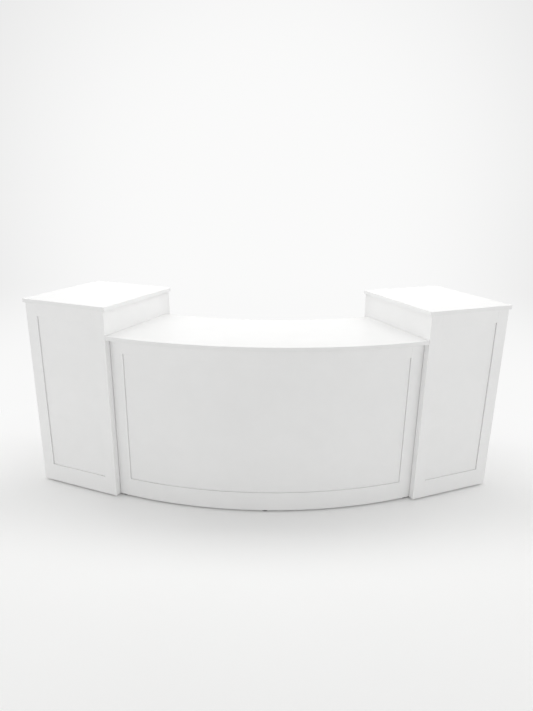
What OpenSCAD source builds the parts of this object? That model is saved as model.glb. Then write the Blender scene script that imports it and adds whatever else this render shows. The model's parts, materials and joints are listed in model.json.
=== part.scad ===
// Curved bar counter: a curved centre unit bolted between two taller end towers.
//
// Axes: +X runs along the counter, +Y points to the serving side (the open back),
// +Z is up. The origin is on the floor, in the middle of the footprint's box.
// Every curved board is an arc about one vertical line, the arc centre, which
// stands behind the counter at [0, arc_cy]. Each tower is a plain rectangular
// case whose inner side lies on the radial plane at the end of the arc.
//
// In the side frame of a tower, x runs from its inner side to its outer side,
// y runs from its front face to its back, and z is up.

/* [Overall] */
// Height of the counter top above the floor
counter_h = 1067; // [980:1:1120]
// Height of the tower tops above the floor
tower_h = 1240; // [1180:1:1400]
// Half of the angle that the curved centre unit covers
half_angle = 22.5; // [20:0.5:25]
// Radius of the curved front face
front_r = 2442; // [2400:1:2500]
// Radius of the back edge of the counter top
back_r = 1815; // [1780:1:1840]
// Gap between the floor and the bottom edge of the panels
floor_gap = 10; // [9:1:16]

/* [Towers] */
// Width of a tower's case
tower_w = 579; // [520:1:680]
// Depth of a tower's case, from front to back
tower_d = 713; // [680:1:740]
// How far a tower's front stands proud of the curved front
tower_proud = 41; // [25:1:60]
// Overhang of the tower top at its outer side
tower_over_out = 17; // [4:1:25]
// Overhang of the tower top at its inner side
tower_over_in = 13; // [2:1:18]
// Overhang of the tower top at the front
tower_over_front = 4; // [2:1:12]
// Overhang of the tower top at the back
tower_over_back = 7; // [2:1:12]
// Height of the lower shelf's underside in a tower
tower_shelf_low_z = 460; // [400:1:560]
// Height of the upper shelf's underside in a tower
tower_shelf_high_z = 834; // [700:1:900]

/* [Centre unit] */
// Overhang of the counter top over the curved front: here its edge is flush with the towers' fronts
counter_over_front = 41; // [2:1:48]
// Angle of the two dividers from the middle
divider_angle = 7.5; // [6:0.5:9]
// Height of the shelf's underside in the centre unit
centre_shelf_z = 548; // [420:1:650]
// Width of the dark shadow gap between the curved frame and a tower
shadow_gap = 1.9; // [1:0.1:8]
// Depth of the two curved stretchers under the counter top
stretcher_d = 80; // [60:1:120]

/* [Boards] */
// Thickness of the counter top and of the tower tops
slab_t = 25; // [22:1:30]
// Thickness of sides, decks, shelves, dividers and stretchers
board_t = 18; // [16:1:20]
// Thickness of the face frames in front of the panels
frame_t = 18; // [15:1:20]
// Thickness of the front panels' plates behind the face frames
panel_t = 12; // [9:1:14]
// Depth of the front panels' raised fields behind the front of the frames
recess = 6; // [3:0.5:12]
// Width of the shadow lines at the sides of a tower's raised field
reveal = 2; // [0.5:0.25:4]
// Width of the shadow lines at the sides of the curved raised field
curved_reveal = 1.3; // [0.5:0.1:4]
// Height of the shadow lines above and below a raised field
reveal_z = 0.65; // [0.5:0.05:4]
// Width of a tower's stiles
stile_w = 81; // [60:1:100]
// Width of the curved stiles, measured along the arc
curved_stile_w = 83.5; // [60:0.5:100]
// Height of the top edge of the bottom rails
bottom_rail_top = 129.5; // [120:0.5:170]
// Height of the curved top rail
top_rail_h = 82; // [55:1:100]
// Height of the towers' top rails
tower_top_rail_h = 78; // [55:1:100]
// Height of the top face of the base decks
deck_top = 100; // [96:1:110]
// Depth of the grooves that hold decks, shelves and stretchers
groove_d = 5; // [4:0.5:6]
// Width of the rebates that hold the front panels and the tower sub-tops
rebate_w = 9; // [7:0.5:10]
// Thickness of the glue line behind the curved face frame
glue_line = 0.1; // [0.1:0.05:0.3]

/* [Levelling feet] */
// Diameter of a foot's pad
pad_d = 44; // [36:1:46]
// Thickness of a foot's pad
pad_h = 8; // [5:0.5:8]
// Diameter of the threaded stem
stem_d = 8; // [6:1:8]
// Height of the stem's top end when the foot is fully screwed in
stem_top = 60; // [55:1:62]
// Side of the square blocks that hold the feet
block_w = 40; // [36:1:44]
// Distance of a tower foot from the outsides of its case
tower_foot_in = 60; // [50:1:90]

/* [Fasteners] */
// Diameter of the bolts that join a tower to the centre unit
bolt_d = 8; // [6:1:10]
// Diameter of the screws that hold the tops down
screw_d = 4.5; // [4:0.5:5]
// Length of those screws under the head
screw_l = 30; // [26:1:34]

/* [Hidden] */

// Paint, metal and foot colours
paint = [0.95, 0.95, 0.945];
paint_inside = [0.92, 0.92, 0.915];
timber = [0.80, 0.70, 0.55];
steel = [0.72, 0.73, 0.75];
black = [0.10, 0.10, 0.10];

// Overshoot of the cuts
e = 2;
// Segments of the long arcs and of the small round parts
arc_fn = 720;
small_fn = 48;

// Radii of the curved layers, from the front face inwards
panel_out_r = front_r - frame_t;
frame_back_r = panel_out_r + glue_line;
panel_in_r = panel_out_r - panel_t;
body_back_r = back_r + 10;
shelf_back_r = body_back_r + 20;
shelf_front_r = panel_in_r - 2;

// Heights
counter_under = counter_h - slab_t;
tower_under = tower_h - slab_t;
deck_z = deck_top - board_t;
block_z = floor_gap + 4;
insert_top = block_z + 30;

// The towers' front plane
tower_front_r = front_r + tower_proud;

// The arc centre, placed so that the footprint's box is centred on the origin
front_y = -(front_r + counter_over_front);
back_y = -(tower_front_r - tower_d - tower_over_back) * cos(half_angle) + (tower_w + tower_over_out) * sin(half_angle);
arc_cy = -(front_y + back_y) / 2;

// Distance between the ends of the counter top and the towers
end_gap = 0.5;

// Angles that stand for short distances along the front
gap_a = asin(shadow_gap / front_r);
stile_a = curved_stile_w / front_r * 180 / PI;
reveal_a = curved_reveal / front_r * 180 / PI;

// Feet of the centre unit: [side, x, y] in the side frame of that side
end_foot_x = -30;
front_foot_y = tower_front_r - panel_out_r + 11;
back_foot_y = tower_front_r - body_back_r - 34;
middle_front_foot_r = panel_out_r - 10;
middle_back_foot_r = body_back_r + 34;

// Bolts between a tower and the centre unit: [y, z] in the side frame
back_bolt_y = tower_front_r - body_back_r - 88;
bolt_at = [[110, 300], [110, 790], [back_bolt_y, 300], [back_bolt_y, 790]];

// Screws of the tops
tower_screw_at = [
    [100, 130], [tower_w - 100, 130],
    [100, tower_d - 110], [tower_w - 100, tower_d - 110]
];
centre_screw_angles = [-16, -5, 5, 16];
front_screw_r = panel_in_r - stretcher_d / 2;
back_screw_r = body_back_r + stretcher_d / 2;

// ---- Frames -------------------------------------------------------------

// At the arc centre, turned so that -Y points to the front at this angle
module at_angle(a) {
    translate([0, arc_cy, 0]) rotate([0, 0, a]) children();
}

// The side frame of the right tower (s = 1) or of the left one (s = -1)
module side_frame(s) {
    if (s < 0)
        mirror([1, 0, 0]) at_angle(half_angle) translate([0, -tower_front_r, 0]) children();
    else
        at_angle(half_angle) translate([0, -tower_front_r, 0]) children();
}

// ---- Plain shapes -------------------------------------------------------

// A board that is bent to the arc, between two radii, heights and angles
module arc_board(r0, r1, z0, z1, a0, a1) {
    at_angle(a0 - 90)
        rotate_extrude(angle = a1 - a0, $fn = arc_fn)
            translate([r0, z0]) square([r1 - r0, z1 - z0]);
}

// A box between two corners
module box(p, q) {
    translate(p) cube([q[0] - p[0], q[1] - p[1], q[2] - p[2]]);
}

// All that lies outside a plane parallel to the end plane, d inside it
module beyond_end(s, d) {
    side_frame(s) box([-d, -200, -e], [400, 1200, tower_h]);
}

// All that lies to the right of a divider's middle plane, shifted by dx
module right_of_divider(s, dx) {
    at_angle(s * divider_angle) box([dx, -front_r - 100, -e], [1600, -1200, tower_h]);
}

// All that lies to the left of it
module left_of_divider(s, dx) {
    at_angle(s * divider_angle) box([-1600, -front_r - 100, -e], [dx, -1200, tower_h]);
}

// ---- Shapes of the centre unit's boards, also used to cut their joints ---

module front_panel_shape() {
    difference() {
        arc_board(panel_in_r, panel_out_r, deck_top, counter_under, -half_angle, half_angle);
        beyond_end(1, board_t - rebate_w);
        beyond_end(-1, board_t - rebate_w);
    }
}

module centre_deck_shape() {
    difference() {
        arc_board(body_back_r, panel_out_r, deck_z, deck_top, -half_angle, half_angle);
        beyond_end(1, board_t - groove_d);
        beyond_end(-1, board_t - groove_d);
    }
}

module front_stretcher_shape() {
    difference() {
        arc_board(panel_in_r - stretcher_d, panel_in_r, counter_under - board_t, counter_under, -half_angle, half_angle);
        beyond_end(1, board_t - groove_d);
        beyond_end(-1, board_t - groove_d);
    }
}

module back_stretcher_shape() {
    difference() {
        arc_board(body_back_r, body_back_r + stretcher_d, counter_under - board_t, counter_under, -half_angle, half_angle);
        beyond_end(1, board_t - groove_d);
        beyond_end(-1, board_t - groove_d);
    }
}

module middle_shelf_shape() {
    difference() {
        arc_board(shelf_back_r, shelf_front_r, centre_shelf_z, centre_shelf_z + board_t, -half_angle, half_angle);
        right_of_divider(1, -board_t / 2 + groove_d);
        left_of_divider(-1, board_t / 2 - groove_d);
    }
}

module side_shelf_shape(s) {
    difference() {
        arc_board(shelf_back_r, shelf_front_r, centre_shelf_z, centre_shelf_z + board_t, -half_angle, half_angle);
        beyond_end(s, board_t - groove_d);
        if (s > 0) left_of_divider(1, board_t / 2 - groove_d);
        else right_of_divider(-1, -board_t / 2 + groove_d);
    }
}

// Clearance holes of the connector bolts, through both boards
module bolt_holes() {
    for (p = bolt_at)
        translate([-board_t - e, p[0], p[1]]) rotate([0, 90, 0])
            cylinder(d = bolt_d + 0.6, h = 2 * (board_t + e), $fn = small_fn);
}

// Where the screws of the centre unit stand
module at_centre_screws() {
    for (a = centre_screw_angles) {
        at_angle(a) translate([0, -front_screw_r, counter_under]) children();
        at_angle(a) translate([0, -back_screw_r, counter_under]) children();
    }
}

// Where the screws of a tower stand
module at_tower_screws(s) {
    side_frame(s) for (p = tower_screw_at) translate([p[0], p[1], tower_under]) children();
}

// A screw hole through the board below a top and into the top
module screw_hole() {
    translate([0, 0, -board_t - e])
        cylinder(d = screw_d + 0.1, h = screw_l + e + 0.5, $fn = small_fn);
}

// ---- Centre unit --------------------------------------------------------

module counter_top() {
    color(paint)
    difference() {
        arc_board(back_r, front_r + counter_over_front, counter_under, counter_h, -half_angle, half_angle);
        beyond_end(1, end_gap);
        beyond_end(-1, end_gap);
        at_centre_screws() screw_hole();
    }
}

// The plate behind the frame, and the raised field that fills the frame
module curved_front_panel() {
    color(paint) {
        front_panel_shape();
        arc_board(panel_out_r - e, front_r - recess, bottom_rail_top + reveal_z, counter_under - top_rail_h - reveal_z,
            -half_angle + gap_a + stile_a + reveal_a, half_angle - gap_a - stile_a - reveal_a);
    }
}

module curved_top_rail() {
    color(paint)
    arc_board(frame_back_r, front_r, counter_under - top_rail_h, counter_under,
        -half_angle + gap_a + stile_a, half_angle - gap_a - stile_a);
}

module curved_bottom_rail() {
    color(paint)
    arc_board(frame_back_r, front_r, floor_gap, bottom_rail_top,
        -half_angle + gap_a + stile_a, half_angle - gap_a - stile_a);
}

// A curved stile: it runs full height, and the rails butt against it
module curved_stile(s) {
    color(paint)
    if (s > 0)
        arc_board(frame_back_r, front_r, floor_gap, counter_under, half_angle - gap_a - stile_a, half_angle - gap_a);
    else
        arc_board(frame_back_r, front_r, floor_gap, counter_under, -half_angle + gap_a, -half_angle + gap_a + stile_a);
}

// An end panel: its outer face lies on the tower's inner side
module centre_end_panel(s) {
    color(paint_inside)
    difference() {
        intersection() {
            arc_board(body_back_r, panel_out_r, floor_gap, counter_under, -half_angle, half_angle);
            side_frame(s) box([-board_t, -100, 0], [0, 1000, counter_h]);
        }
        front_panel_shape();
        centre_deck_shape();
        front_stretcher_shape();
        back_stretcher_shape();
        side_shelf_shape(s);
        side_frame(s) bolt_holes();
    }
}

// A divider: it stands on the deck, and the stretchers lie in its notches
module centre_divider(s) {
    color(paint_inside)
    difference() {
        intersection() {
            arc_board(body_back_r, panel_in_r, deck_top, counter_under, -half_angle, half_angle);
            at_angle(s * divider_angle)
                box([-board_t / 2, -front_r, 0], [board_t / 2, -1200, counter_h]);
        }
        front_stretcher_shape();
        back_stretcher_shape();
        middle_shelf_shape();
        side_shelf_shape(s);
    }
}

module centre_base_deck() {
    color(paint_inside) centre_deck_shape();
}

module centre_side_shelf(s) {
    color(paint_inside) side_shelf_shape(s);
}

module centre_middle_shelf() {
    color(paint_inside) middle_shelf_shape();
}

module centre_front_stretcher() {
    color(paint_inside)
    difference() {
        front_stretcher_shape();
        at_centre_screws() screw_hole();
    }
}

module centre_back_stretcher() {
    color(paint_inside)
    difference() {
        back_stretcher_shape();
        at_centre_screws() screw_hole();
    }
}

// ---- Towers -------------------------------------------------------------

module tower_panel_shape() {
    box([board_t - rebate_w, frame_t, deck_top], [tower_w - board_t + rebate_w, frame_t + panel_t, tower_under]);
}

module tower_subtop_shape() {
    box([board_t - rebate_w, frame_t + panel_t, tower_under - board_t],
        [tower_w - board_t + rebate_w, tower_d, tower_under]);
}

module tower_deck_shape() {
    box([board_t - groove_d, frame_t, deck_z], [tower_w - board_t + groove_d, tower_d, deck_top]);
}

module tower_shelf_shape(z) {
    box([board_t - groove_d, frame_t + panel_t + 2, z], [tower_w - board_t + groove_d, tower_d - 20, z + board_t]);
}

// The joints that both sides of a tower have
module tower_side_joints() {
    tower_panel_shape();
    tower_subtop_shape();
    tower_deck_shape();
    tower_shelf_shape(tower_shelf_low_z);
    tower_shelf_shape(tower_shelf_high_z);
}

module tower_top(s) {
    color(paint)
    difference() {
        side_frame(s)
            box([-tower_over_in, -tower_over_front, tower_under],
                [tower_w + tower_over_out, tower_d + tower_over_back, tower_h]);
        at_tower_screws(s) screw_hole();
    }
}

module tower_subtop(s) {
    color(paint_inside)
    difference() {
        side_frame(s) tower_subtop_shape();
        at_tower_screws(s) screw_hole();
    }
}

module tower_inner_side(s) {
    color(paint)
    side_frame(s)
    difference() {
        box([0, frame_t, floor_gap], [board_t, tower_d, tower_under]);
        tower_side_joints();
        bolt_holes();
    }
}

module tower_outer_side(s) {
    color(paint)
    side_frame(s)
    difference() {
        box([tower_w - board_t, frame_t, floor_gap], [tower_w, tower_d, tower_under]);
        tower_side_joints();
    }
}

// The plate behind the frame, and the raised field that fills the frame
module tower_front_panel(s) {
    color(paint) side_frame(s) {
        tower_panel_shape();
        box([stile_w + reveal, recess, bottom_rail_top + reveal_z],
            [tower_w - stile_w - reveal, frame_t + e, tower_under - tower_top_rail_h - reveal_z]);
    }
}

module tower_inner_stile(s) {
    color(paint) side_frame(s) box([0, 0, floor_gap], [stile_w, frame_t, tower_under]);
}

module tower_outer_stile(s) {
    color(paint) side_frame(s) box([tower_w - stile_w, 0, floor_gap], [tower_w, frame_t, tower_under]);
}

module tower_top_rail(s) {
    color(paint) side_frame(s)
        box([stile_w, 0, tower_under - tower_top_rail_h], [tower_w - stile_w, frame_t, tower_under]);
}

module tower_bottom_rail(s) {
    color(paint) side_frame(s)
        box([stile_w, 0, floor_gap], [tower_w - stile_w, frame_t, bottom_rail_top]);
}

module tower_base_deck(s) {
    color(paint_inside) side_frame(s) tower_deck_shape();
}

module tower_shelf(s, z) {
    color(paint_inside) side_frame(s) tower_shelf_shape(z);
}

// ---- Levelling feet -----------------------------------------------------

// A foot, standing on the floor: pad, hexagon and threaded stem in one piece
module foot() {
    color(black)
    rotate_extrude($fn = small_fn)
        polygon([
            [0, 0], [pad_d / 2 - 1, 0], [pad_d / 2, 1], [pad_d / 2, pad_h - 3],
            [pad_d / 2 - 3, pad_h - 1], [9, pad_h], [7, pad_h], [7, pad_h + 3],
            [stem_d / 2, pad_h + 3], [stem_d / 2, stem_top - 1], [stem_d / 2 - 1, stem_top], [0, stem_top]
        ]);
}

// Places of the feet
module at_end_foot(s, y) {
    side_frame(s) translate([end_foot_x, y, 0]) children();
}

module at_middle_foot(r) {
    at_angle(0) translate([0, -r, 0]) children();
}

module at_tower_foot(s, x, y) {
    side_frame(s) translate([x, y, 0]) children();
}

// The hole in a block: the insert's seat, and room for the stem above it
module block_hole() {
    translate([0, 0, block_z - e]) cylinder(d = stem_d + 4, h = insert_top - block_z + e, $fn = small_fn);
    translate([0, 0, insert_top - e]) cylinder(d = stem_d + 1, h = stem_top + 6 - insert_top + e, $fn = small_fn);
}

// A block between two corners about the foot's axis, glued under a deck
module block(x0, y0, x1, y1) {
    difference() {
        box([x0, y0, block_z], [x1, y1, deck_z]);
        block_hole();
    }
}

module foot_blocks() {
    color(timber) {
        for (s = [-1, 1]) {
            at_end_foot(s, front_foot_y) block(-block_w + 12, -10, 12, block_w - 10);
            at_end_foot(s, back_foot_y) block(-block_w + 12, -block_w / 2, 12, block_w / 2);
            for (x = [tower_foot_in, tower_w - tower_foot_in], y = [tower_foot_in, tower_d - tower_foot_in])
                at_tower_foot(s, x, y) block(-block_w / 2, -block_w / 2, block_w / 2, block_w / 2);
        }
        at_middle_foot(middle_front_foot_r) block(-25, -9.5, 25, block_w - 9.5);
        at_middle_foot(middle_back_foot_r) block(-25, -block_w / 2, 25, block_w / 2);
    }
}

// A flanged threaded insert, with a running fit for the stem
module insert() {
    difference() {
        union() {
            translate([0, 0, block_z - 2]) cylinder(d = stem_d + 10, h = 2, $fn = small_fn);
            translate([0, 0, block_z - 1]) cylinder(d = stem_d + 4, h = insert_top - block_z + 1, $fn = small_fn);
        }
        translate([0, 0, block_z - 2 - e]) cylinder(d = stem_d + 0.1, h = insert_top - block_z + 2 + 2 * e, $fn = small_fn);
    }
}

module foot_inserts() {
    color(steel) {
        for (s = [-1, 1]) {
            at_end_foot(s, front_foot_y) insert();
            at_end_foot(s, back_foot_y) insert();
            for (x = [tower_foot_in, tower_w - tower_foot_in], y = [tower_foot_in, tower_d - tower_foot_in])
                at_tower_foot(s, x, y) insert();
        }
        at_middle_foot(middle_front_foot_r) insert();
        at_middle_foot(middle_back_foot_r) insert();
    }
}

// ---- Fasteners ----------------------------------------------------------

// Flanged hexagon bolts: the head is inside the tower, the end in the centre unit
module connector_bolts() {
    color(steel)
    for (s = [-1, 1], p = bolt_at)
        side_frame(s) translate([board_t, p[0], p[1]]) rotate([0, 90, 0]) {
            cylinder(d = bolt_d + 10, h = 1.6, $fn = small_fn);
            translate([0, 0, 1]) cylinder(d = bolt_d + 7, h = bolt_d * 0.65 + 0.6, $fn = 6);
            translate([0, 0, -2 * board_t - 12]) cylinder(d = bolt_d, h = 2 * board_t + 13, $fn = small_fn);
        }
}

// Flanged hexagon nuts
module connector_nuts() {
    color(steel)
    for (s = [-1, 1], p = bolt_at)
        side_frame(s) translate([-board_t, p[0], p[1]]) rotate([0, -90, 0])
            difference() {
                union() {
                    cylinder(d = bolt_d + 10, h = 1.6, $fn = small_fn);
                    translate([0, 0, 1]) cylinder(d = bolt_d + 7, h = bolt_d * 0.8 + 0.6, $fn = 6);
                }
                translate([0, 0, -e]) cylinder(d = bolt_d + 0.1, h = bolt_d + 2 * e, $fn = small_fn);
            }
}

// A pan-head screw, driven up through a board into the top
module screw() {
    translate([0, 0, -board_t - 2.6]) cylinder(d = screw_d * 2, h = 2.6, $fn = small_fn);
    translate([0, 0, -board_t - 1]) cylinder(d = screw_d, h = screw_l + 1, $fn = small_fn);
}

module top_screws() {
    color(steel) {
        at_centre_screws() screw();
        at_tower_screws(1) screw();
        at_tower_screws(-1) screw();
    }
}

// ---- Assembly -----------------------------------------------------------

counter_top();
curved_front_panel();
curved_top_rail();
curved_bottom_rail();
curved_stile(-1);  // curved_left_stile
curved_stile(1);  // curved_right_stile
centre_end_panel(-1);  // centre_left_end_panel
centre_end_panel(1);  // centre_right_end_panel
centre_divider(-1);  // centre_left_divider
centre_divider(1);  // centre_right_divider
centre_base_deck();
centre_side_shelf(-1);  // centre_left_shelf
centre_middle_shelf();
centre_side_shelf(1);  // centre_right_shelf
centre_front_stretcher();
centre_back_stretcher();

tower_top(-1);  // left_tower_top
tower_subtop(-1);  // left_tower_subtop
tower_inner_side(-1);  // left_tower_inner_side
tower_outer_side(-1);  // left_tower_outer_side
tower_front_panel(-1);  // left_tower_front_panel
tower_inner_stile(-1);  // left_tower_inner_stile
tower_outer_stile(-1);  // left_tower_outer_stile
tower_top_rail(-1);  // left_tower_top_rail
tower_bottom_rail(-1);  // left_tower_bottom_rail
tower_base_deck(-1);  // left_tower_base_deck
tower_shelf(-1, tower_shelf_low_z);  // left_tower_lower_shelf
tower_shelf(-1, tower_shelf_high_z);  // left_tower_upper_shelf

tower_top(1);  // right_tower_top
tower_subtop(1);  // right_tower_subtop
tower_inner_side(1);  // right_tower_inner_side
tower_outer_side(1);  // right_tower_outer_side
tower_front_panel(1);  // right_tower_front_panel
tower_inner_stile(1);  // right_tower_inner_stile
tower_outer_stile(1);  // right_tower_outer_stile
tower_top_rail(1);  // right_tower_top_rail
tower_bottom_rail(1);  // right_tower_bottom_rail
tower_base_deck(1);  // right_tower_base_deck
tower_shelf(1, tower_shelf_low_z);  // right_tower_lower_shelf
tower_shelf(1, tower_shelf_high_z);  // right_tower_upper_shelf

foot_blocks();
foot_inserts();
connector_bolts();
connector_nuts();
top_screws();

at_end_foot(-1, front_foot_y) foot();  // foot_centre_front_left
at_middle_foot(middle_front_foot_r) foot();  // foot_centre_front_middle
at_end_foot(1, front_foot_y) foot();  // foot_centre_front_right
at_end_foot(-1, back_foot_y) foot();  // foot_centre_back_left
at_middle_foot(middle_back_foot_r) foot();  // foot_centre_back_middle
at_end_foot(1, back_foot_y) foot();  // foot_centre_back_right
at_tower_foot(-1, tower_foot_in, tower_foot_in) foot();  // foot_left_tower_front_inner
at_tower_foot(-1, tower_w - tower_foot_in, tower_foot_in) foot();  // foot_left_tower_front_outer
at_tower_foot(-1, tower_foot_in, tower_d - tower_foot_in) foot();  // foot_left_tower_back_inner
at_tower_foot(-1, tower_w - tower_foot_in, tower_d - tower_foot_in) foot();  // foot_left_tower_back_outer
at_tower_foot(1, tower_foot_in, tower_foot_in) foot();  // foot_right_tower_front_inner
at_tower_foot(1, tower_w - tower_foot_in, tower_foot_in) foot();  // foot_right_tower_front_outer
at_tower_foot(1, tower_foot_in, tower_d - tower_foot_in) foot();  // foot_right_tower_back_inner
at_tower_foot(1, tower_w - tower_foot_in, tower_d - tower_foot_in) foot();  // foot_right_tower_back_outer
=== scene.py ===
import json
import math

import bmesh
import bpy
from mathutils import Matrix, Vector
from mathutils.bvhtree import BVHTree


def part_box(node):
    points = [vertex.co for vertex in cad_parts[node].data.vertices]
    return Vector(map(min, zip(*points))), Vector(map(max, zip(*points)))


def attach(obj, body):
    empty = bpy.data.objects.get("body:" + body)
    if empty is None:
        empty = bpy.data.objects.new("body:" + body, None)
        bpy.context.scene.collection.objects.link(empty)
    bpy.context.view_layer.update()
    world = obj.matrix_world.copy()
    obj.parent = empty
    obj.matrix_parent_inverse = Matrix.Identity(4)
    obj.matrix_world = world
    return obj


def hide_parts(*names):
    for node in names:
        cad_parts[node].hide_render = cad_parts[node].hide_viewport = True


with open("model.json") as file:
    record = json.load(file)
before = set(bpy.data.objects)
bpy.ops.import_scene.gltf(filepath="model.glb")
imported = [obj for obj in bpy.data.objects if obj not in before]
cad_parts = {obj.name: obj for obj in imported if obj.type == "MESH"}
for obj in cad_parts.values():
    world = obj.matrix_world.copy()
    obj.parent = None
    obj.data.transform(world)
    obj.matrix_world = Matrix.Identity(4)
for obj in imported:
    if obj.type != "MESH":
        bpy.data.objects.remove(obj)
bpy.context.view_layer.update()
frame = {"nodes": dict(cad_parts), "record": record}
NODES = frame["nodes"]
SLOT = {s["node"]: s["material_slot"] for s in frame["record"]["subparts"]}
FEET = [n for n in NODES if n.startswith("foot_") and n not in ("foot_blocks", "foot_inserts")]
scene = bpy.context.scene

# The arc centre and the towers' side frames, as in the CAD, in metres
ARC_Y = 1.9418601
TOWER_FRONT_R = 2.483
HALF = math.radians(22.5)


def side_point(s, a, b, z):
    """A point in a tower's side frame: a from its inner side outwards, b from its front face back."""
    ux, uy = math.sin(HALF), -math.cos(HALF)
    tx, ty = math.cos(HALF), math.sin(HALF)
    return Vector((s * (TOWER_FRONT_R * ux + a * tx - b * ux), ARC_Y + TOWER_FRONT_R * uy + a * ty - b * uy, z))


def side_axes(s):
    """The side frame's outward direction and its backward direction."""
    return Vector((s * math.cos(HALF), math.sin(HALF), 0)), Vector((-s * math.sin(HALF), math.cos(HALF), 0))


# ---------------------------------------------------------------- camera

def make_camera():
    yaw, pitch, roll = (math.radians(a) for a in (0.26618, 18.11927, -0.85426))
    f = Vector((math.sin(yaw) * math.cos(pitch), math.cos(yaw) * math.cos(pitch), -math.sin(pitch)))
    r = Vector((math.cos(yaw), -math.sin(yaw), 0))
    d = f.cross(r)
    right = r * math.cos(roll) + d * math.sin(roll)
    down = d * math.cos(roll) - r * math.sin(roll)
    data = bpy.data.cameras.new("view_camera")
    data.sensor_fit = "AUTO"
    data.sensor_width = 36.0
    data.lens = 566.839 * 36.0 / 711.0
    data.shift_y = 11.421 / 711.0
    data.clip_start, data.clip_end = 0.05, 200.0
    cam = bpy.data.objects.new("view_camera", data)
    scene.collection.objects.link(cam)
    m = Matrix.Identity(4)
    m.col[0][:3], m.col[1][:3], m.col[2][:3] = right, -down, -f
    m.col[3][:3] = (-0.01747, -3.55098, 1.93995)
    cam.matrix_world = m
    scene.camera = cam


make_camera()

# ---------------------------------------------------------------- materials


class Build:
    """A small helper that makes nodes and links in one material."""

    def __init__(self, name):
        self.mat = bpy.data.materials.new(name)
        self.mat.use_nodes = True
        self.nt = self.mat.node_tree
        self.nt.nodes.clear()
        self.out = self.nt.nodes.new("ShaderNodeOutputMaterial")
        self.bsdf = self.nt.nodes.new("ShaderNodeBsdfPrincipled")
        self.link(self.bsdf.outputs[0], self.out.inputs["Surface"])
        self.co = self.nt.nodes.new("ShaderNodeTexCoord").outputs["Object"]

    def link(self, a, b):
        self.nt.links.new(a, b)

    def put(self, socket, value):
        if isinstance(value, bpy.types.NodeSocket):
            self.link(value, socket)
        else:
            socket.default_value = value

    def noise(self, scale, detail=2.0, rough=0.5, vec=None, distort=0.0):
        n = self.nt.nodes.new("ShaderNodeTexNoise")
        self.link(vec or self.co, n.inputs["Vector"])
        n.inputs["Scale"].default_value = scale
        n.inputs["Detail"].default_value = detail
        n.inputs["Roughness"].default_value = rough
        n.inputs["Distortion"].default_value = distort
        return n.outputs[0]

    def scaled(self, scale, turn=(0, 0, 0)):
        n = self.nt.nodes.new("ShaderNodeMapping")
        self.link(self.co, n.inputs["Vector"])
        n.inputs["Rotation"].default_value = turn
        n.inputs["Scale"].default_value = scale
        return n.outputs[0]

    def span(self, value, a, b, c, d):
        n = self.nt.nodes.new("ShaderNodeMapRange")
        self.link(value, n.inputs["Value"])
        for k, v in zip(("From Min", "From Max", "To Min", "To Max"), (a, b, c, d)):
            n.inputs[k].default_value = v
        return n.outputs[0]

    def maths(self, op, a, b=0.0):
        n = self.nt.nodes.new("ShaderNodeMath")
        n.operation = op
        self.put(n.inputs[0], a)
        self.put(n.inputs[1], b)
        return n.outputs[0]

    def mix(self, fac, a, b):
        n = self.nt.nodes.new("ShaderNodeMix")
        n.data_type = "RGBA"
        self.put(n.inputs[0], fac)
        n.inputs[6].default_value = (*a, 1) if not isinstance(a, bpy.types.NodeSocket) else (0, 0, 0, 1)
        n.inputs[7].default_value = (*b, 1) if not isinstance(b, bpy.types.NodeSocket) else (0, 0, 0, 1)
        if isinstance(a, bpy.types.NodeSocket):
            self.link(a, n.inputs[6])
        if isinstance(b, bpy.types.NodeSocket):
            self.link(b, n.inputs[7])
        return n.outputs[2]

    def bump(self, height, distance, strength=1.0, before=None):
        n = self.nt.nodes.new("ShaderNodeBump")
        n.inputs["Strength"].default_value = strength
        n.inputs["Distance"].default_value = distance
        self.link(height, n.inputs["Height"])
        if before is not None:
            self.link(before, n.inputs["Normal"])
        return n.outputs[0]

    def finish(self, color, rough, normal=None, **plain):
        self.put(self.bsdf.inputs["Base Color"], color)
        self.put(self.bsdf.inputs["Roughness"], rough)
        if normal is not None:
            self.link(normal, self.bsdf.inputs["Normal"])
        for k, v in plain.items():
            self.bsdf.inputs[k].default_value = v
        return self.mat


def lacquer(name, tone, rough, stipple, fibre=0.0, scuff=0.0):
    """Sprayed and sanded white lacquer on board: a faint unevenness of tone, orange peel, and soft changes of sheen."""
    b = Build(name)
    broad = b.noise(1.7, 3.0, 0.55)
    patch = b.noise(9.0, 4.0, 0.6)
    lo = tuple(c * 0.972 for c in tone)
    hi = tuple(min(1.0, c * 1.012) for c in tone)
    both = b.maths("ADD", b.maths("MULTIPLY", broad, 0.65), b.maths("MULTIPLY", patch, 0.35))
    colour = b.mix(b.span(both, 0.32, 0.68, 0.0, 1.0), lo, hi)
    sheen = b.span(b.noise(6.5, 5.0, 0.62), 0.3, 0.7, rough - 0.035, rough + 0.045)
    if scuff:
        # fine wiping marks, long in one direction
        streaks = b.noise(1.0, 3.0, 0.7, b.scaled((9.0, 160.0, 160.0), (0, 0, 0.35)))
        sheen = b.maths("ADD", sheen, b.span(streaks, 0.52, 0.78, 0.0, scuff))
    peel = b.maths(
        "ADD", b.maths("MULTIPLY", b.noise(310.0, 1.5, 0.4), 0.7), b.maths("MULTIPLY", b.noise(70.0, 2.0, 0.5), 0.6)
    )
    normal = b.bump(peel, 0.00009 * stipple)
    if fibre:
        grain = b.noise(1.0, 5.0, 0.7, b.scaled((900.0, 900.0, 260.0)))
        normal = b.bump(grain, 0.00004 * fibre, 1.0, normal)
    return b.finish(colour, sheen, normal)


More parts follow.
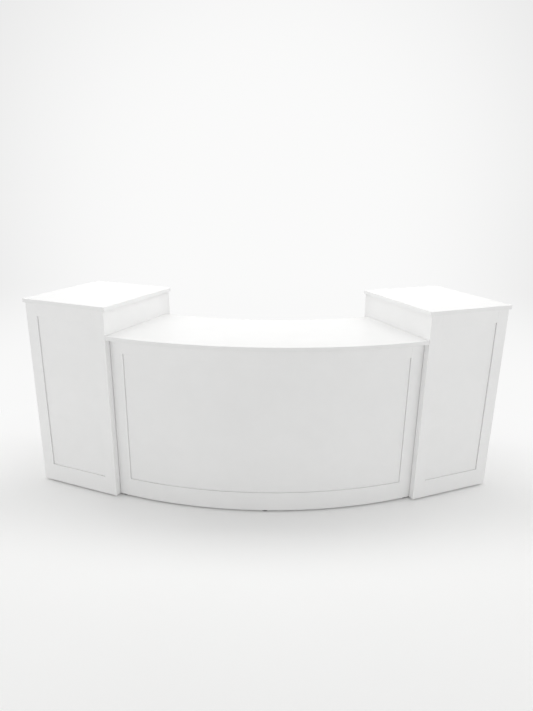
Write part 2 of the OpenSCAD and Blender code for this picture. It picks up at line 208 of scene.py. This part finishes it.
def timber(name):
    """Bare planed softwood: long growth rings with pores and soft ray flecks."""
    b = Build(name)
    along = b.scaled((3.0, 46.0, 46.0), (0.0, 0.08, 0.05))
    warp = b.noise(1.0, 3.0, 0.55, along, 0.6)
    rings = b.nt.nodes.new("ShaderNodeTexWave")
    rings.wave_type, rings.bands_direction = "RINGS", "X"
    b.link(b.scaled((0.9, 9.0, 9.0), (0.0, 0.1, 0.06)), rings.inputs["Vector"])
    rings.inputs["Scale"].default_value = 5.5
    rings.inputs["Distortion"].default_value = 2.4
    rings.inputs["Detail"].default_value = 3.0
    rings.inputs["Detail Scale"].default_value = 1.6
    pores = b.noise(1.0, 4.0, 0.75, b.scaled((60.0, 900.0, 900.0)))
    wood = b.mix(b.span(rings.outputs[1], 0.15, 0.9, 0.0, 1.0), (0.62, 0.44, 0.245), (0.47, 0.30, 0.145))
    wood = b.mix(b.span(warp, 0.35, 0.7, 0.0, 0.45), wood, (0.70, 0.52, 0.31))
    wood = b.mix(b.span(pores, 0.56, 0.72, 0.0, 0.35), wood, (0.30, 0.18, 0.09))
    height = b.maths("ADD", b.maths("MULTIPLY", rings.outputs[1], 0.6), pores)
    return b.finish(wood, b.span(pores, 0.3, 0.7, 0.56, 0.72), b.bump(height, 0.00018))


def zinc(name):
    """Zinc-plated steel: a dull spangle, faint yellow and blue patches, and tool marks."""
    b = Build(name)
    cells = b.nt.nodes.new("ShaderNodeTexVoronoi")
    b.link(b.co, cells.inputs["Vector"])
    cells.inputs["Scale"].default_value = 620.0
    patch = b.noise(160.0, 3.0, 0.6)
    colour = b.mix(b.span(patch, 0.35, 0.65, 0.0, 1.0), (0.60, 0.61, 0.64), (0.69, 0.67, 0.60))
    colour = b.mix(b.span(cells.outputs[0], 0.0, 0.8, 0.0, 0.22), colour, (0.47, 0.49, 0.53))
    rough = b.span(b.noise(700.0, 4.0, 0.6), 0.3, 0.7, 0.27, 0.44)
    marks = b.noise(1.0, 2.0, 0.6, b.scaled((2600.0, 2600.0, 300.0)))
    return b.finish(colour, rough, b.bump(marks, 0.00002), Metallic=1.0)


def nylon(name):
    """Black moulded nylon: a fine spark-eroded grain, and patches of dust."""
    b = Build(name)
    dust = b.noise(60.0, 4.0, 0.65)
    colour = b.mix(b.span(dust, 0.45, 0.75, 0.0, 1.0), (0.013, 0.013, 0.014), (0.034, 0.033, 0.031))
    grain = b.noise(2300.0, 2.0, 0.6)
    rough = b.span(dust, 0.35, 0.7, 0.44, 0.6)
    return b.finish(colour, rough, b.bump(grain, 0.00006))


MATERIALS = {
    "painted_case": lacquer("lacquer_case", (0.862, 0.862, 0.859), 0.42, 1.0),
    "painted_top": lacquer("lacquer_top", (0.842, 0.842, 0.839), 0.36, 0.7, 0.0, 0.07),
    "painted_edge": lacquer("lacquer_edge", (0.835, 0.835, 0.832), 0.42, 1.0),
    "painted_inside": lacquer("lacquer_inside", (0.80, 0.80, 0.795), 0.55, 1.2, 1.0),
    "timber_block": timber("bare_timber"),
    "zinc_steel": zinc("zinc_plate"),
    "foot_plastic": nylon("moulded_nylon"),
}

# ---------------------------------------------------------------- boards

# Rounding of the free edges of each board, in metres; an edge that lies on a joint only gets HAIR
HAIR = 0.00028
WIDEST = 0.002


def roundness(node):
    if node in ("counter_top", "left_tower_top", "right_tower_top"):
        return 0.002
    if "stile" in node or "rail" in node:
        return 0.0011
    if node == "foot_blocks":
        return 0.0008
    return 0.0010


BOXES = {n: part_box(n) for n in NODES}


def near_tree(node):
    """The surfaces of the other nodes that lie near this one."""
    lo, hi = BOXES[node]
    verts, tris = [], []
    for n, o in NODES.items():
        l, h = BOXES[n]
        if n == node or any(l[i] > hi[i] + 0.003 or h[i] < lo[i] - 0.003 for i in range(3)):
            continue
        o.data.calc_loop_triangles()
        base = len(verts)
        verts += [v.co.copy() for v in o.data.vertices]
        tris += [[base + i for i in t.vertices] for t in o.data.loop_triangles]
    return BVHTree.FromPolygons(verts, tris) if tris else None


def face_is_free(tree, edge, face):
    """Whether nothing lies against this face beside the edge, at five places along it."""
    if tree is None:
        return 1.0
    a, b = (v.co for v in edge.verts)
    along = (b - a).normalized()
    inward = face.normal.cross(along)
    if (face.calc_center_median() - (a + b) / 2).dot(inward) < 0:
        inward.negate()
    free = 0
    for t in (0.1, 0.3, 0.5, 0.7, 0.9):
        p = a.lerp(b, t) + inward * 0.001 + face.normal * 0.0002
        free += tree.find_nearest(p, 0.0003)[0] is None
    return free / 5


def chains(edges):
    """Groups of sharp edges that run on into each other with a turn of less than 4 degrees."""
    root = {e: e for e in edges}

    def find(e):
        while root[e] is not e:
            root[e] = root[root[e]]
            e = root[e]
        return e

    by_vert = {}
    for e in edges:
        for v in e.verts:
            by_vert.setdefault(v, []).append(e)
    for v, es in by_vert.items():
        for i, e in enumerate(es):
            for g in es[i + 1:]:
                p, q = e.other_vert(v).co - v.co, g.other_vert(v).co - v.co
                if p.length > 1e-7 and q.length > 1e-7 and p.angle(q) > math.radians(176):
                    root[find(e)] = find(g)
    groups = {}
    for e in edges:
        groups.setdefault(find(e), []).append(e)
    return list(groups.values())


def make_object(name, mesh):
    obj = bpy.data.objects.new(name, mesh)
    scene.collection.objects.link(obj)
    return obj


def refine_board(node):
    """The board as in the CAD, as clean faces, with its edges rounded: free edges as painted boards are, joints to a hairline."""
    bm = bmesh.new()
    bm.from_mesh(NODES[node].data)
    bmesh.ops.remove_doubles(bm, verts=bm.verts, dist=3e-6)
    bmesh.ops.dissolve_degenerate(bm, dist=1e-6, edges=bm.edges)
    bmesh.ops.dissolve_limit(bm, angle_limit=math.radians(0.15), use_dissolve_boundaries=False, verts=bm.verts, edges=bm.edges)
    bm.normal_update()
    weight = bm.edges.layers.float.get("bevel_weight_edge") or bm.edges.layers.float.new("bevel_weight_edge")
    tree = near_tree(node)
    full = roundness(node)
    sharp = []
    for e in bm.edges:
        e.smooth = True
        if len(e.link_faces) == 2 and e.calc_face_angle() > math.radians(25):
            e.smooth = False
            if e.is_convex and e.calc_length() > 0.0012:
                sharp.append(e)
    for group in chains(sharp):
        length = sum(e.calc_length() for e in group)
        open_length = sum(e.calc_length() * min(face_is_free(tree, e, f) for f in e.link_faces) for e in group)
        size = full if open_length > 0.5 * length else HAIR
        if length < 0.004:
            size = 0.0
        for e in group:
            e[weight] = size / WIDEST
            e.smooth = size > 0
    for f in bm.faces:
        f.smooth = True
        f.material_index = 0
    mesh = bpy.data.meshes.new(node + "_board")
    bm.to_mesh(mesh)
    bm.free()
    if "custom_normal" in mesh.attributes:
        mesh.attributes.remove(mesh.attributes["custom_normal"])
    mesh.materials.clear()
    mesh.materials.append(MATERIALS[SLOT[node]])
    if SLOT[node] == "painted_top":
        # the sawn edges of a slab take up the lacquer another way than its faces
        mesh.materials.append(MATERIALS["painted_edge"])
        for p in mesh.polygons:
            p.material_index = 0 if abs(p.normal.z) > 0.5 else 1
    obj = make_object(node + "_board", mesh)
    bevel = obj.modifiers.new("rounded_edges", "BEVEL")
    bevel.limit_method = "WEIGHT"
    bevel.width = WIDEST
    bevel.segments = 3
    bevel.use_clamp_overlap = True
    bevel.harden_normals = False
    flat = obj.modifiers.new("flat_faces", "WEIGHTED_NORMAL")
    flat.keep_sharp = True
    flat.weight = 80
    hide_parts(node)
    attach(obj, "cabinet")
    return obj


HARDWARE = ("foot_inserts", "connector_bolts", "connector_nuts", "top_screws")
for name in sorted(NODES):
    if name not in FEET and name not in HARDWARE:
        refine_board(name)

# ---------------------------------------------------------------- turned and threaded parts


def ring(r, z, n, shape=None):
    """n points round the Z axis; shape(angle) gives the radius of a ring that isn't round."""
    out = []
    for i in range(n):
        a = 2 * math.pi * i / n
        q = shape(a) if shape else r
        out.append(Vector((q * math.cos(a), q * math.sin(a), z)))
    return out


def hexagon(flats):
    """Radius of a hexagon of that width across flats, by angle."""
    return lambda a: flats / 2 / math.cos((a + math.pi / 6) % (math.pi / 3) - math.pi / 6)


def add_rings(bm, rings, closed=False, cap_low=True, cap_high=True, mats=None):
    """Faces between rings of points, capped with one face at each end or closed into a tube wall."""
    rows = [[bm.verts.new(p) for p in r] for r in rings]
    n = len(rows[0])
    pairs = list(zip(rows, rows[1:])) + ([(rows[-1], rows[0])] if closed else [])
    for k, (a, b) in enumerate(pairs):
        for i in range(n):
            f = bm.faces.new((a[i], a[(i + 1) % n], b[(i + 1) % n], b[i]))
            f.material_index = mats[k] if mats else 0
    if not closed:
        if cap_low:
            bm.faces.new(list(reversed(rows[0]))).material_index = mats[0] if mats else 0
        if cap_high:
            bm.faces.new(rows[-1]).material_index = mats[-1] if mats else 0
    return rows


def add_thread(bm, z0, z1, major, minor, pitch, n, mat=0, tip=0.0):
    """A right-hand thread as one clean helicoid between two plain rings of the minor radius, cut back to a cone at its top by tip.
    Its first and last rings are returned."""
    steps = ((0.00, minor), (0.20, minor), (0.48, major), (0.70, major))
    per = len(steps)
    turns = int(math.ceil((z1 - z0) / pitch)) + 2
    grid = []
    for i in range(n):
        column, a = [], 2 * math.pi * i / n
        for j in range(turns * per + 1):
            k, m = divmod(j, per)
            z = z0 + pitch * (k - 1 + steps[m][0] + i / n)
            r = steps[m][1]
            fade = min((z - z0) / (0.8 * pitch), (z1 - z) / (0.8 * pitch), 1.0)
            r = minor + (r - minor) * max(0.0, fade)
            if tip and z > z1 - tip:
                r = min(r, minor - (z - (z1 - tip)) * 0.9 + (major - minor))
            z = min(max(z, z0), z1)
            column.append(bm.verts.new((r * math.cos(a), r * math.sin(a), z)))
        grid.append(column)
    for i in range(n):
        here, there, shift = grid[i], grid[(i + 1) % n], 0 if i + 1 < n else per
        for j in range(turns * per):
            if j + 1 + shift > turns * per:
                continue
            quad = (here[j], there[j + shift], there[j + 1 + shift], here[j + 1])
            if len({tuple(round(c, 7) for c in v.co) for v in quad}) >= 3:
                f = bm.faces.new(quad)
                f.material_index = mat
    return grid


def finish_mesh(bm, name, mats, sharp=32.0):
    bmesh.ops.remove_doubles(bm, verts=bm.verts, dist=2e-6)
    bmesh.ops.dissolve_degenerate(bm, dist=1e-6, edges=bm.edges)
    loose = [v for v in bm.verts if not v.link_faces]
    bmesh.ops.delete(bm, geom=loose, context="VERTS")
    bmesh.ops.recalc_face_normals(bm, faces=bm.faces)
    for f in bm.faces:
        f.smooth = True
    for e in bm.edges:
        e.smooth = not (len(e.link_faces) == 2 and e.calc_face_angle() > math.radians(sharp))
    mesh = bpy.data.meshes.new(name)
    bm.to_mesh(mesh)
    bm.free()
    for m in mats:
        mesh.materials.append(m)
    return mesh


def foot_mesh():
    """A levelling foot: moulded pad with ribs below, a hexagon for the spanner, and a steel M8 stem."""
    bm = bmesh.new()
    n = 48
    # the ribbed underside, from the middle out: a hub, a recess crossed by eight ribs, and a standing rim
    def low(r, i):
        if r < 0.0072 or r > 0.0178:
            return 0.0
        rib = abs(((i / n * 8 + 0.5) % 1.0) - 0.5) * 2 * math.pi * r / 8
        return 0.0 if rib < 0.0008 + 1e-9 or i % 6 == 0 else 0.0021
    radii = (0.0022, 0.0071, 0.0073, 0.0100, 0.0130, 0.0160, 0.0177, 0.0179, 0.0205)
    under = []
    for r in radii:
        under.append([Vector((r * math.cos(2 * math.pi * i / n), r * math.sin(2 * math.pi * i / n), low(r, i))) for i in range(n)])
    profile = [
        (0.0211, 0.0002), (0.0217, 0.0007), (0.0220, 0.0014), (0.0220, 0.0044), (0.0217, 0.0052), (0.0209, 0.0058),
        (0.0192, 0.0064), (0.0165, 0.0070), (0.0135, 0.0074), (0.0110, 0.0076), (0.0096, 0.0077), (0.0084, 0.0078), (0.0078, 0.0079),
    ]
    rings = under + [ring(r, z, n) for r, z in profile]
    flats = 0.0119
    h = hexagon(flats)
    rings += [ring(0, 0.0080, n, h), ring(0, 0.0104, n, h)]
    rings.append([Vector((min(h(2 * math.pi * i / n), 0.0062) * math.cos(2 * math.pi * i / n), min(h(2 * math.pi * i / n), 0.0062) * math.sin(2 * math.pi * i / n), 0.0110)) for i in range(n)])
    rings += [ring(0.0052, 0.0110, n), ring(0.00345, 0.0110, n)]
    mats = [0] * (len(rings) - 1)
    add_rings(bm, rings, cap_high=False, mats=mats)
    add_thread(bm, 0.0110, 0.0590, 0.00396, 0.00345, 0.00125, n, 1)
    add_rings(bm, [ring(0.00345, 0.0590, n), ring(0.00335, 0.0594, n), ring(0.0027, 0.0600, n)], cap_low=False, mats=[1, 1])
    return finish_mesh(bm, "levelling_foot", [MATERIALS["foot_plastic"], MATERIALS["zinc_steel"]])


def insert_mesh():
    """A flanged threaded insert: a flat flange with two driving notches and a sleeve for the stem."""
    bm = bmesh.new()
    n = 48
    def rim(r):
        return lambda a: r - (0.0010 if abs(math.sin(a)) < 0.22 else 0.0)
    rings = [
        ring(0.0041, 0.0126, n), ring(0.0046, 0.0121, n), ring(0.0052, 0.0120, n), ring(0, 0.0120, n, rim(0.0084)),
        ring(0, 0.0122, n, rim(0.0088)), ring(0, 0.0127, n, rim(0.0090)), ring(0, 0.0137, n, rim(0.0090)), ring(0, 0.0140, n, rim(0.0088)),
        ring(0.0059, 0.0140, n), ring(0.0059, 0.0430, n), ring(0.0054, 0.0440, n), ring(0.0046, 0.0440, n), ring(0.0041, 0.0434, n),
    ]
    add_rings(bm, rings, closed=True)
    return finish_mesh(bm, "flanged_insert", [MATERIALS["zinc_steel"]])


def hexagon_top(bm_rings, n, flats, z_low, z_high, flange_z):
    """Rings of a hexagon with a turned chamfer, from its foot on the flange to its flat top."""
    h = hexagon(flats)
    turned = flats / 2 * 0.97
    def cut(a):
        return z_high - max(0.0, h(a) - turned) * math.tan(math.radians(30))
    bm_rings.append(ring(0, flange_z, n, h))
    bm_rings.append([Vector((h(2 * math.pi * i / n) * math.cos(2 * math.pi * i / n), h(2 * math.pi * i / n) * math.sin(2 * math.pi * i / n), cut(2 * math.pi * i / n))) for i in range(n)])
    bm_rings.append(ring(turned, z_high, n))


def bolt_mesh():
    """A flanged hexagon bolt along +Z: flange at 0, head above, shank and thread below."""
    bm = bmesh.new()
    n = 48
    rings = [ring(0.0027, -0.0480, n), ring(0.00335, -0.0475, n), ring(0.00345, -0.0472, n)]
    add_rings(bm, rings, cap_high=False)
    add_thread(bm, -0.0472, -0.0240, 0.00398, 0.00345, 0.00125, n)
    rings = [
        ring(0.00345, -0.0240, n), ring(0.0040, -0.0235, n), ring(0.0040, 0.0, n), ring(0.0086, 0.0, n), ring(0.0090, 0.0003, n),
        ring(0.0090, 0.0008, n), ring(0.0083, 0.0012, n),
    ]
    hexagon_top(rings, n, 0.0130, 0.0, 0.0068, 0.0016)
    rings += [ring(0.0046, 0.0068, n), ring(0.0043, 0.0065, n)]
    add_rings(bm, rings, cap_low=False)
    return finish_mesh(bm, "flange_bolt", [MATERIALS["zinc_steel"]])


def nut_mesh():
    """A flanged hexagon nut along +Z, its flange at 0."""
    bm = bmesh.new()
    n = 48
    rings = [
        ring(0.00405, 0.0006, n), ring(0.0046, 0.0, n), ring(0.0086, 0.0, n), ring(0.0090, 0.0003, n), ring(0.0090, 0.0008, n),
        ring(0.0083, 0.0012, n),
    ]
    hexagon_top(rings, n, 0.0130, 0.0, 0.0080, 0.0016)
    rings += [ring(0.0046, 0.0080, n), ring(0.00405, 0.0074, n)]
    add_rings(bm, rings, closed=True)
    return finish_mesh(bm, "flange_nut", [MATERIALS["zinc_steel"]])


def screw_mesh():
    """A pan-head screw with a cross recess, its head's seat at 0 and its point up along +Z."""
    bm = bmesh.new()
    n = 64
    def recess(x, y):
        x, y = abs(x), abs(y)
        arm, wide = 0.0024, 0.00052
        if (x < arm and y < wide) or (y < arm and x < wide) or x + y < 0.0011:
            return 0.0013 * min(1.0, (arm + 0.0002 - max(x, y)) / 0.0009)
        return 0.0
    rows = []
    for r, z in (
        (0.0003, -0.0026), (0.0005, -0.0026), (0.0008, -0.0026), (0.0012, -0.00258), (0.0016, -0.00255), (0.0020, -0.0025),
        (0.0023, -0.00246), (0.0025, -0.00243), (0.0030, -0.00232), (0.0036, -0.00205), (0.0041, -0.0016), (0.0044, -0.0010),
        (0.0045, -0.0004), (0.0045, 0.0),
    ):
        rows.append([Vector((r * math.cos(2 * math.pi * i / n), r * math.sin(2 * math.pi * i / n),
                             z + recess(r * math.cos(2 * math.pi * i / n), r * math.sin(2 * math.pi * i / n)))) for i in range(n)])
    rows += [ring(0.0022, 0.0, n), ring(0.0022, 0.0100, n), ring(0.00155, 0.0104, n)]
    add_rings(bm, rows, cap_high=False)
    add_thread(bm, 0.0104, 0.0270, 0.00222, 0.00155, 0.0018, n)
    add_rings(bm, [ring(0.00155, 0.0270, n), ring(0.0009, 0.0290, n), ring(0.0002, 0.0300, n)], cap_low=False)
    return finish_mesh(bm, "pan_head_screw", [MATERIALS["zinc_steel"]])


FOOT = foot_mesh()
for name in FEET:
    lo, hi = BOXES[name]
    piece = make_object("levelling_" + name, FOOT)
    piece.location = ((lo.x + hi.x) / 2, (lo.y + hi.y) / 2, 0.0)
    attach(piece, name)
    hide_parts(name)

# where the feet's axes are, so that the inserts stand on the same lines
foot_axes = [((BOXES[n][0].x + BOXES[n][1].x) / 2, (BOXES[n][0].y + BOXES[n][1].y) / 2) for n in FEET]


def joined(name, node, mesh, placements):
    """One piece for all the equal parts of a node, each at its own place."""
    bm = bmesh.new()
    for m in placements:
        part = bmesh.new()
        part.from_mesh(mesh)
        part.transform(m)
        moved = bpy.data.meshes.new("moved")
        part.to_mesh(moved)
        part.free()
        bm.from_mesh(moved)
        bpy.data.meshes.remove(moved)
    out = bpy.data.meshes.new(name)
    bm.to_mesh(out)
    bm.free()
    for m in mesh.materials:
        out.materials.append(m)
    piece = make_object(name, out)
    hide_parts(node)
    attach(piece, "cabinet")
    return piece


def turned_to(direction, place, spin=0.0):
    """Stands a part's Z axis along direction, at place."""
    q = Vector(direction).to_track_quat("Z", "Y")
    return Matrix.Translation(place) @ q.to_matrix().to_4x4() @ Matrix.Rotation(spin, 4, "Z")


joined("insert_set", "foot_inserts", insert_mesh(), [Matrix.Translation((x, y, 0)) @ Matrix.Rotation(i * 1.1, 4, "Z") for i, (x, y) in enumerate(foot_axes)])

bolt_places, nut_places = [], []
for s in (-1, 1):
    out, back = side_axes(s)
    for k, (b, z) in enumerate(((0.110, 0.300), (0.110, 0.790), (0.570, 0.300), (0.570, 0.790))):
        bolt_places.append(turned_to(out, side_point(s, 0.018, b, z), 0.7 * k + s))
        nut_places.append(turned_to(-out, side_point(s, -0.018, b, z), 1.3 * k - s))
joined("bolt_set", "connector_bolts", bolt_mesh(), bolt_places)
joined("nut_set", "connector_nuts", nut_mesh(), nut_places)

screw_places = []
for deg in (-16, -5, 5, 16):
    a = math.radians(deg)
    for r in (2.372, 1.865):
        screw_places.append(Matrix.Translation((r * math.sin(a), ARC_Y - r * math.cos(a), 1.042 - 0.018)) @ Matrix.Rotation(a * 5, 4, "Z"))
for s in (-1, 1):
    for k, (a, b) in enumerate(((0.100, 0.130), (0.479, 0.130), (0.100, 0.603), (0.479, 0.603))):
        screw_places.append(Matrix.Translation(side_point(s, a, b, 1.215 - 0.018)) @ Matrix.Rotation(0.8 * k + s, 4, "Z"))
joined("screw_set", "top_screws", screw_mesh(), screw_places)

# ---------------------------------------------------------------- studio


def backdrop_level(nt, along):
    """How bright the surround is seen in a direction, by the cosine of its angle from the middle of the backdrop."""
    ramp = nt.nodes.new("ShaderNodeMapRange")
    ramp.interpolation_type = "SMOOTHSTEP"
    ramp.inputs["From Min"].default_value = math.cos(math.radians(34.2))
    ramp.inputs["From Max"].default_value = math.cos(math.radians(6.2))
    ramp.inputs["To Min"].default_value = 0.775
    ramp.inputs["To Max"].default_value = 0.957
    nt.links.new(along, ramp.inputs["Value"])
    return ramp.outputs[0]


def make_floor():
    """A pale floor that takes the counter's shadow and runs on into the surround far from it."""
    bm = bmesh.new()
    n = 96
    rows = [ring(r, 0.0, n) for r in (0.5, 1.5, 3.0, 5.0, 8.0, 12.0, 20.0, 40.0, 80.0)]
    add_rings(bm, rows, cap_high=False)
    for f in bm.faces:
        if f.normal.z < 0:
            f.normal_flip()
    mesh = bpy.data.meshes.new("studio_floor")
    bm.to_mesh(mesh)
    bm.free()
    b = Build("studio_floor")
    nt = b.nt
    oval = nt.nodes.new("ShaderNodeMapping")
    oval.inputs["Location"].default_value = (0.0, 1.2, 0.0)
    oval.inputs["Scale"].default_value = (1.0, 1.0, 1.0)
    b.link(b.co, oval.inputs["Vector"])

    def size_of(vec):
        node = nt.nodes.new("ShaderNodeVectorMath")
        node.operation = "LENGTH"
        b.link(vec, node.inputs[0])
        return node.outputs["Value"]

    fade = b.span(size_of(oval.outputs[0]), 1.65, 3.2, 0.0, 1.0)
    fade.node.interpolation_type = "SMOOTHSTEP"
    # far out the floor is a painted glow, as bright as the surround in that direction
    moved = nt.nodes.new("ShaderNodeMapping")
    moved.inputs["Location"].default_value = (0.0, 3.55, 0.0)
    b.link(b.co, moved.inputs["Vector"])
    distance = size_of(b.co)
    parts = nt.nodes.new("ShaderNodeSeparateXYZ")
    b.link(moved.outputs[0], parts.inputs[0])
    level = backdrop_level(nt, b.maths("DIVIDE", parts.outputs[1], size_of(moved.outputs[0])))
    far = b.span(distance, 3.0, 9.0, 0.0, 1.0)
    far.node.interpolation_type = "SMOOTHSTEP"
    strength = nt.nodes.new("ShaderNodeMix")
    strength.data_type = "FLOAT"
    strength.inputs[2].default_value = 0.948
    b.link(far, strength.inputs[0])
    b.link(level, strength.inputs[3])
    glow = nt.nodes.new("ShaderNodeEmission")
    glow.inputs["Color"].default_value = (1.0, 1.0, 0.998, 1)
    b.link(strength.outputs[0], glow.inputs["Strength"])
    mix = nt.nodes.new("ShaderNodeMixShader")
    b.finish(b.mix(b.noise(1.3, 3.0), (0.922, 0.922, 0.918), (0.936, 0.936, 0.933)), 0.65)
    b.bsdf.inputs["Specular IOR Level"].default_value = 0.25
    b.link(fade, mix.inputs[0])
    b.link(b.bsdf.outputs[0], mix.inputs[1])
    b.link(glow.outputs[0], mix.inputs[2])
    b.link(mix.outputs[0], b.out.inputs["Surface"])
    b.mat.cycles.emission_sampling = "NONE"
    mesh.materials.append(b.mat)
    make_object("studio_floor", mesh)


def make_surround():
    """Even soft light from all round, and a backdrop that falls off a little away from its middle."""
    world = bpy.data.worlds.new("studio")
    scene.world = world
    world.use_nodes = True
    nt = world.node_tree
    nt.nodes.clear()
    out = nt.nodes.new("ShaderNodeOutputWorld")
    seen = nt.nodes.new("ShaderNodeBackground")
    light = nt.nodes.new("ShaderNodeBackground")
    mix = nt.nodes.new("ShaderNodeMixShader")
    path = nt.nodes.new("ShaderNodeLightPath")
    co = nt.nodes.new("ShaderNodeTexCoord")
    dot = nt.nodes.new("ShaderNodeVectorMath")
    dot.operation = "DOT_PRODUCT"
    dot.inputs[1].default_value = Vector((0.0046, 1.0, -0.0311)).normalized()
    nt.links.new(co.outputs["Generated"], dot.inputs[0])
    seen.inputs["Color"].default_value = (1.0, 1.0, 0.998, 1)
    nt.links.new(backdrop_level(nt, dot.outputs["Value"]), seen.inputs["Strength"])
    # the light comes more from the two sides than from the front, and a lit backdrop stands behind
    parts = nt.nodes.new("ShaderNodeSeparateXYZ")
    nt.links.new(co.outputs["Generated"], parts.inputs[0])
    side = nt.nodes.new("ShaderNodeMath")
    side.operation = "MULTIPLY"
    nt.links.new(parts.outputs[0], side.inputs[0])
    nt.links.new(parts.outputs[0], side.inputs[1])
    behind = nt.nodes.new("ShaderNodeMapRange")
    behind.interpolation_type = "SMOOTHSTEP"
    behind.inputs["From Min"].default_value = 0.80
    behind.inputs["From Max"].default_value = 0.96
    behind.inputs["To Min"].default_value = 0.375
    behind.inputs["To Max"].default_value = 1.17
    nt.links.new(parts.outputs[1], behind.inputs["Value"])
    level = nt.nodes.new("ShaderNodeMath")
    level.operation = "MULTIPLY_ADD"
    level.inputs[1].default_value = 1.0
    nt.links.new(side.outputs[0], level.inputs[0])
    nt.links.new(behind.outputs[0], level.inputs[2])
    light.inputs["Color"].default_value = (1.0, 1.0, 0.997, 1)
    nt.links.new(level.outputs[0], light.inputs["Strength"])
    nt.links.new(path.outputs["Is Camera Ray"], mix.inputs[0])
    nt.links.new(light.outputs[0], mix.inputs[1])
    nt.links.new(seen.outputs[0], mix.inputs[2])
    nt.links.new(mix.outputs[0], out.inputs["Surface"])


def area(name, place, aim, size, watts):
    data = bpy.data.lights.new(name, "AREA")
    data.shape = "RECTANGLE"
    data.size, data.size_y = size
    data.energy = watts
    data.color = (1.0, 1.0, 0.995)
    obj = bpy.data.objects.new(name, data)
    scene.collection.objects.link(obj)
    obj.location = place
    obj.rotation_mode = "QUATERNION"
    obj.rotation_quaternion = (Vector(aim) - Vector(place)).to_track_quat("-Z", "Y")
    obj.visible_camera = False
    return obj


make_floor()
make_surround()
area("overhead_softbox", (0.0, 0.45, 3.9), (0.0, 0.3, 0.0), (7.0, 1.2), 83.0)
for x in (-3.7, 3.7):
    area("side_softbox", (x, -3.3, 1.45), (x * 0.30, -0.3, 0.72), (2.2, 1.8), 16.0)

scene.view_settings.view_transform = "Standard"
scene.view_settings.look = "None"
scene.view_settings.exposure = 0.0
scene.view_settings.gamma = 1.0
scene.cycles.use_denoising = True
scene.cycles.max_bounces = 10
scene.cycles.diffuse_bounces = 6
scene.cycles.transparent_max_bounces = 12
